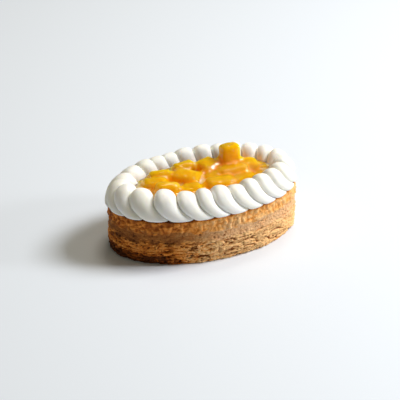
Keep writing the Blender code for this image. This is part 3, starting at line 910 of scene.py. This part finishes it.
def amber_glaze():
    """Set fruit jelly, amber from the mango: its films let a little fruit show, and its skin is wet."""
    material, tree, output = new_material("clear_amber_glaze")
    place = node(tree, "ShaderNodeTexCoord").outputs["Object"]
    depth = node(tree, "ShaderNodeAttribute", attribute_name="depth").outputs["Fac"]
    cloud = node(tree, "ShaderNodeTexNoise", {"Vector": place, "Scale": 150.0, "Detail": 3.0})
    deep = spread_value(tree, depth, 0.3, 2.4)
    amber = ramp(tree, deep, [(0.0, "#F4A200"), (0.35, "#F49C00"), (1.0, "#F29E08")])
    # Light peach patches where the jelly lies deep, at both ends of the heap: a painted highlight and a
    # painted stand-in for the cream seen through clear jelly
    patch = spread_value(tree, cloud.outputs[0], 0.48, 0.62)
    along = node(tree, "ShaderNodeSeparateXYZ", {0: place}).outputs["X"]
    ends = added(tree, spread_value(tree, along, 0.006, -0.004), spread_value(tree, along, 0.024, 0.030))
    between = spread_value(tree, depth, 0.55, 1.20)
    painted_light_patch = node(tree, "ShaderNodeMath", {0: patch, 1: between}, operation="MULTIPLY").outputs[0]
    painted_light_patch = node(tree, "ShaderNodeMath", {0: painted_light_patch, 1: ends}, operation="MULTIPLY").outputs[0]
    tint = mix_colour(tree, painted_light_patch, amber, "#F0C680")
    # Loose fibres of the fruit, darker, lie in the jelly at the right end
    lengthways = node(tree, "ShaderNodeMapping", {"Vector": place, "Scale": (0.22, 1.0, 1.0)}).outputs[0]
    strands = node(tree, "ShaderNodeTexNoise", {"Vector": lengthways, "Scale": 620.0, "Detail": 2.0})
    strand = spread_value(tree, strands.outputs[0], 0.52, 0.62)
    right_end = spread_value(tree, along, 0.0290, 0.0330, 0.0, 0.75)
    fibre = node(tree, "ShaderNodeMath", {0: strand, 1: right_end}, operation="MULTIPLY").outputs[0]
    tint = mix_colour(tree, fibre, tint, "#B8662A")
    thick = node(
        tree,
        "ShaderNodeMapRange",
        {"Value": depth, "From Min": 0.4, "From Max": 1.0, "To Min": 0.80, "To Max": 0.97},
    )
    body = node(
        tree,
        "ShaderNodeBsdfPrincipled",
        {
            "Base Color": tint,
            "Roughness": 0.25,
            "Specular IOR Level": 0.0,
            "Subsurface Weight": 1.0,
            "Subsurface Radius": MANGO_GLOW,
            "Subsurface Scale": 1.0,
        },
    )
    clear = node(tree, "ShaderNodeBsdfTransparent", {"Color": linear("#FFFFFF")})
    inside = node(
        tree, "ShaderNodeMixShader", {0: thick.outputs[0], 1: clear.outputs[0], 2: body.outputs[0]}
    )
    # Slow ripples of the wet surface, about 3 mm apart
    ripple = node(tree, "ShaderNodeTexNoise", {"Vector": place, "Scale": 260.0, "Detail": 1.5})
    bump = node(
        tree, "ShaderNodeBump", {"Strength": 0.14, "Distance": 0.0010, "Height": ripple.outputs[0]}
    )
    shine = node(
        tree,
        "ShaderNodeBsdfGlossy",
        {"Color": linear("#FFFFFF"), "Roughness": 0.02, "Normal": bump.outputs[0]},
    )
    # Only the outer face shines, so light leaves the jelly as freely as it enters
    edge = node(tree, "ShaderNodeFresnel", {"IOR": 1.40, "Normal": bump.outputs[0]})
    inner = node(tree, "ShaderNodeNewGeometry").outputs["Backfacing"]
    outer = node(tree, "ShaderNodeMath", {0: 1.0, 1: inner}, operation="SUBTRACT")
    share = node(tree, "ShaderNodeMath", {0: edge.outputs[0], 1: outer.outputs[0]}, operation="MULTIPLY")
    mixed = node(
        tree, "ShaderNodeMixShader", {0: share.outputs[0], 1: inside.outputs[0], 2: shine.outputs[0]}
    )
    tree.links.new(mixed.outputs[0], output.inputs["Surface"])
    return material


glaze = build_glaze()
push_out(glaze.data, 0.0, GLAZE_RIPPLE, GLAZE_WAVE)
mark_depth(glaze, BVHTree.FromPolygons(dice_points, dice_faces))
glaze.data.materials.append(amber_glaze())
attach(glaze, "root")
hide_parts("mango_glaze")

# Floor and studio light
# A plain pale table. A soft lamp high on the right and a small one low on the right stand for a window,
# and a weak one above and behind fills in, so the left side lies in shade.

FLOOR_SIDE = 6.0
ROOM_STRENGTH = 0.185
AIM_HEIGHT = 0.02


def pale_table():
    """A plain matt painted table top."""
    material, tree, output = new_material("pale_matt_table")
    shader = node(
        tree,
        "ShaderNodeBsdfPrincipled",
        {"Base Color": linear("#E0E7F1"), "Roughness": 0.6, "Specular IOR Level": 0.2},
    )
    tree.links.new(shader.outputs[0], output.inputs["Surface"])
    return material


bpy.ops.mesh.primitive_plane_add(size=FLOOR_SIDE)
table_top = bpy.context.object
table_top.name = "table_top"
table_top.data.materials.append(pale_table())

VIEW_AZIMUTH = math.radians(-20.76)
VIEW_ELEVATION = math.radians(32.0)
view_right = Vector((math.cos(VIEW_AZIMUTH), math.sin(VIEW_AZIMUTH), 0.0))
view_away = Vector((-math.sin(VIEW_AZIMUTH), math.cos(VIEW_AZIMUTH), 0.0))


def soft_lamp(name, right, away, up, side, watts, colour):
    """A square area lamp at a place given from the viewer's side of the table, aimed at the tart."""
    data = bpy.data.lights.new(name, "AREA")
    data.shape = "SQUARE"
    data.size = side
    data.energy = watts
    data.color = linear(colour)[:3]
    lamp = bpy.data.objects.new(name, data)
    lamp.location = view_right * right + view_away * away + Vector((0.0, 0.0, up))
    aim = Vector((0.0, 0.0, AIM_HEIGHT)) - lamp.location
    lamp.rotation_euler = aim.to_track_quat("-Z", "Y").to_euler()
    bpy.context.scene.collection.objects.link(lamp)


# Each lamp's place to the right, away and up, then its side, strength and colour
soft_lamp("window_lamp", 0.78, 0.15, 0.90, 0.40, 14.0, "#FFFFFF")
soft_lamp("window_foot", 0.98, -0.02, 0.40, 0.15, 2.8, "#FFFFFF")
soft_lamp("top_fill", 0.10, 0.34, 1.16, 0.36, 3.2, "#FFF4E0")

room = bpy.data.worlds.new("pale_room")
room.use_nodes = True
room.node_tree.nodes["Background"].inputs["Color"].default_value = linear("#F7EDCF")
room.node_tree.nodes["Background"].inputs["Strength"].default_value = ROOM_STRENGTH
bpy.context.scene.world = room
bpy.context.scene.view_settings.view_transform = "Standard"

# Camera
# It looks at the tart from above its front left, at the photograph's angle and distance.

VIEW_DISTANCE = 0.730
VIEW_LENS = 126.0
AIM_UP = 0.02184
AIM_RIGHT = -0.00202

view_back = Vector(
    (
        math.sin(VIEW_AZIMUTH) * math.cos(VIEW_ELEVATION),
        -math.cos(VIEW_AZIMUTH) * math.cos(VIEW_ELEVATION),
        math.sin(VIEW_ELEVATION),
    )
)
view_up = view_back.cross(view_right)
camera_data = bpy.data.cameras.new("camera")
camera_data.lens = VIEW_LENS
camera_data.sensor_width = 36.0
camera_data.clip_start = 0.01
camera = bpy.data.objects.new("camera", camera_data)
camera.location = view_back * VIEW_DISTANCE
aim = view_up * AIM_UP * VIEW_DISTANCE + view_right * AIM_RIGHT * VIEW_DISTANCE - camera.location
camera.rotation_euler = aim.to_track_quat("-Z", "Y").to_euler()
bpy.context.scene.collection.objects.link(camera)
bpy.context.scene.camera = camera
